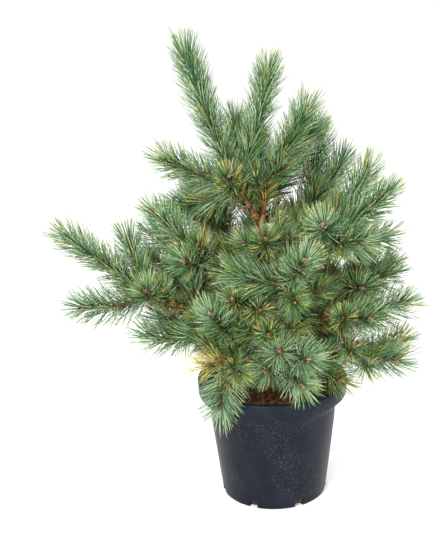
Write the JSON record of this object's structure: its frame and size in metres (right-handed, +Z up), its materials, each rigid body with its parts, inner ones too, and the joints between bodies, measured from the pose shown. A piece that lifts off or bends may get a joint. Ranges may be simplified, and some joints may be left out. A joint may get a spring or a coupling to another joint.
{
  "type": "potted scots pine",
  "caption": "bushy young golden scots pine in a round nursery pot, with open whorls of upturned needled shoots on spreading boughs",
  "frame": {"origin": "middle of the pot's flat underside", "axes": "+Z up along the trunk, -Y to the front that the picture shows, +X to the right in the picture"},
  "size_m": [0.8686, 0.609, 1.1344],
  "materials": {
    "pot": "satin",
    "soil": "matte",
    "bark": "matte",
    "needles": "matte"
  },
  "bodies": {
    "root": {"back_bough": "bark", "back_foliage": "needles", "back_left_bough": "bark", "back_left_foliage": "needles", "back_right_bough": "bark", "back_right_foliage": "needles", "back_upper_bough": "bark", "back_upper_foliage": "needles", "front_bough": "bark", "front_foliage": "needles", "front_low_bough": "bark", "front_low_foliage": "needles", "front_right_bough": "bark", "front_right_foliage": "needles", "inner_back_foliage": "needles", "inner_foot_left_foliage": "needles", "inner_foot_right_foliage": "needles", "inner_front_left_foliage": "needles", "inner_front_right_foliage": "needles", "inner_left_foliage": "needles", "inner_low_front_foliage": "needles", "inner_low_left_foliage": "needles", "inner_low_right_foliage": "needles", "inner_upper_front_foliage": "needles", "inner_upper_right_foliage": "needles", "left_arm": "bark", "left_arm_foliage": "needles", "left_back_bough": "bark", "left_back_foliage": "needles", "left_fork": "bark", "left_fork_foliage": "needles", "left_front_bough": "bark", "left_front_foliage": "needles", "left_upper_bough": "bark", "left_upper_foliage": "needles", "low_back_bough": "bark", "low_back_foliage": "needles", "low_back_left_bough": "bark", "low_back_left_foliage": "needles", "low_back_right_bough": "bark", "low_back_right_foliage": "needles", "low_front_left_bough": "bark", "low_front_left_foliage": "needles", "low_front_right_bough": "bark", "low_front_right_foliage": "needles", "low_left_bough": "bark", "low_left_foliage": "needles", "low_right_bough": "bark", "low_right_foliage": "needles", "mid_right_bough": "bark", "mid_right_foliage": "needles", "outer_right_branch": "bark", "outer_right_foliage": "needles", "pot": "pot", "right_fork": "bark", "right_fork_foliage": "needles", "root_ball": "soil", "trunk": "bark", "upper_right_bough": "bark", "upper_right_foliage": "needles"}
  },
  "joints": []
}
